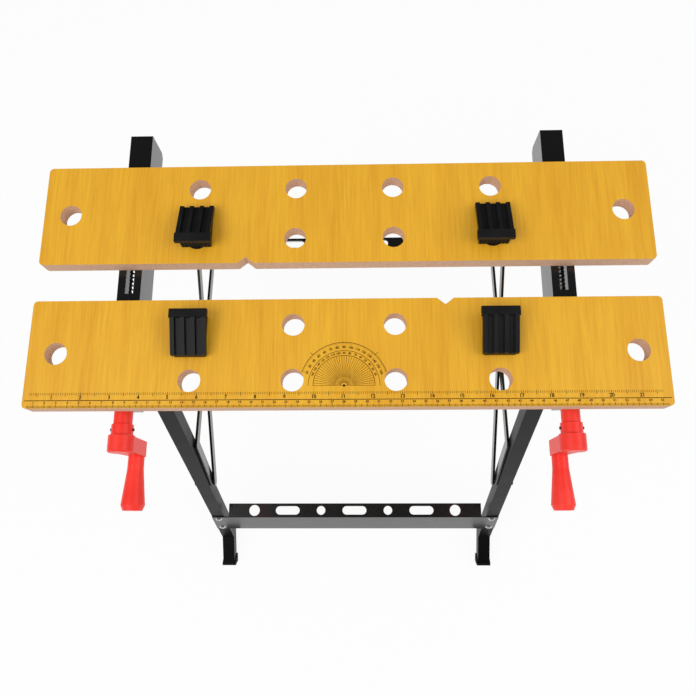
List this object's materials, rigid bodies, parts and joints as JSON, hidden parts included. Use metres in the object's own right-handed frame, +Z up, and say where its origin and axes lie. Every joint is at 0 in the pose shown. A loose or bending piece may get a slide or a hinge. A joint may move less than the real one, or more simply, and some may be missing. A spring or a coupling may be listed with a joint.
{
  "type": "folding workbench",
  "caption": "Folding workbench with drilled split worktop, crank-driven rear clamping jaw, bench dogs, and folding channel legs with flat stays and a perforated step.",
  "frame": {"origin": "centre of the bounding box at floor level", "axes": "+X to the right of someone standing at the cranks, +Y from the cranks to the moving rear board, +Z up"},
  "size_m": [0.56, 0.5816, 0.5955],
  "materials": {
    "laminated_board": "golden yellow laminate on MDF",
    "black_powder_coat": "gloss black powder coat",
    "zinc_steel": "bright zinc",
    "black_steel_pins": "black",
    "red_plastic": "satin moulded",
    "black_plastic": "moulded",
    "black_rubber": "matt"
  },
  "bodies": {
    "bench": {"front_board": "laminated_board", "arm_left": "black_powder_coat", "arm_right": "black_powder_coat", "board_bolts": "zinc_steel", "front_pivots": "black_steel_pins", "rear_pivots": "black_steel_pins"},
    "jaw": {"rear_board": "laminated_board", "jaw_bolts": "zinc_steel", "nut_left": "zinc_steel", "nut_right": "zinc_steel"},
    "left_screw": {"screw_left": "zinc_steel", "crank_left": "red_plastic", "crank_pin_left": "black_steel_pins"},
    "right_screw": {"screw_right": "zinc_steel", "crank_right": "red_plastic", "crank_pin_right": "black_steel_pins"},
    "front_frame": {"front_leg_left": "black_powder_coat", "front_leg_right": "black_powder_coat", "front_step": "black_powder_coat", "step_screws": "zinc_steel", "stay_bolts": "black_steel_pins", "foot_front_left": "black_rubber", "foot_front_right": "black_rubber"},
    "rear_frame": {"rear_leg_left": "black_powder_coat", "rear_leg_right": "black_powder_coat", "rear_bar": "black_powder_coat", "rear_bar_screws": "zinc_steel", "stay_pins": "zinc_steel", "foot_rear_left": "black_rubber", "foot_rear_right": "black_rubber"},
    "upper_stays": {"stay_upper_left": "black_powder_coat", "stay_upper_right": "black_powder_coat"},
    "lower_stays": {"stay_lower_left": "black_powder_coat", "stay_lower_right": "black_powder_coat"},
    "front_left_dog": {"dog_front_left": "black_plastic"},
    "front_right_dog": {"dog_front_right": "black_plastic"},
    "rear_left_dog": {"dog_rear_left": "black_plastic"},
    "rear_right_dog": {"dog_rear_right": "black_plastic"}
  },
  "joints": [
    {"name": "crank_left_turn", "type": "hinge", "parent": "bench", "child": "left_screw", "pos_m": [-0.2, -0.13893, 0.54774], "axis": [0, 1, 0], "range_deg": [-3880, 3130]},
    {"name": "crank_right_turn", "type": "hinge", "parent": "bench", "child": "right_screw", "pos_m": [0.2, -0.13893, 0.54774], "axis": [0, 1, 0], "range_deg": [-3880, 3130]},
    {"name": "jaw_slide", "type": "slide", "parent": "bench", "child": "jaw", "axis": [0, 1, 0], "range_m": [-0.0347, 0.043]},
    {"name": "front_legs_fold", "type": "hinge", "parent": "bench", "child": "front_frame", "pos_m": [0, -0.06543, 0.53324], "axis": [1, 0, 0], "range_deg": [0, 98]},
    {"name": "rear_legs_fold", "type": "hinge", "parent": "bench", "child": "rear_frame", "pos_m": [0, 0.06107, 0.54574], "axis": [1, 0, 0], "range_deg": [0, 66.1]},
    {"name": "upper_stays_fold", "type": "hinge", "parent": "rear_frame", "child": "upper_stays", "pos_m": [0, 0.11481, 0.39143], "axis": [1, 0, 0], "range_deg": [0, 70.1]},
    {"name": "lower_stays_fold", "type": "hinge", "parent": "rear_frame", "child": "lower_stays", "pos_m": [0, 0.15365, 0.2799], "axis": [1, 0, 0], "range_deg": [0, 94.1]},
    {"name": "front_left_dog_turn", "type": "hinge", "parent": "bench", "child": "front_left_dog", "pos_m": [-0.135, -0.06493, 0.56924], "axis": [0, 0, 1], "continuous": true},
    {"name": "front_right_dog_turn", "type": "hinge", "parent": "bench", "child": "front_right_dog", "pos_m": [0.135, -0.06493, 0.56924], "axis": [0, 0, 1], "continuous": true},
    {"name": "rear_left_dog_turn", "type": "hinge", "parent": "jaw", "child": "rear_left_dog", "pos_m": [-0.135, 0.01807, 0.56924], "axis": [0, 0, 1], "continuous": true},
    {"name": "rear_right_dog_turn", "type": "hinge", "parent": "jaw", "child": "rear_right_dog", "pos_m": [0.135, 0.01807, 0.56924], "axis": [0, 0, 1], "continuous": true}
  ],
  "couplings": [
    {"joint": "crank_left_turn", "follows": "jaw_slide", "rad_per_m": -1570.8},
    {"joint": "crank_right_turn", "follows": "jaw_slide", "rad_per_m": -1570.8},
    {"joint": "rear_legs_fold", "follows": "front_legs_fold", "ratio": 0.67347},
    {"joint": "upper_stays_fold", "follows": "front_legs_fold", "ratio": 0.71429},
    {"joint": "lower_stays_fold", "follows": "front_legs_fold", "ratio": 0.95918}
  ]
}
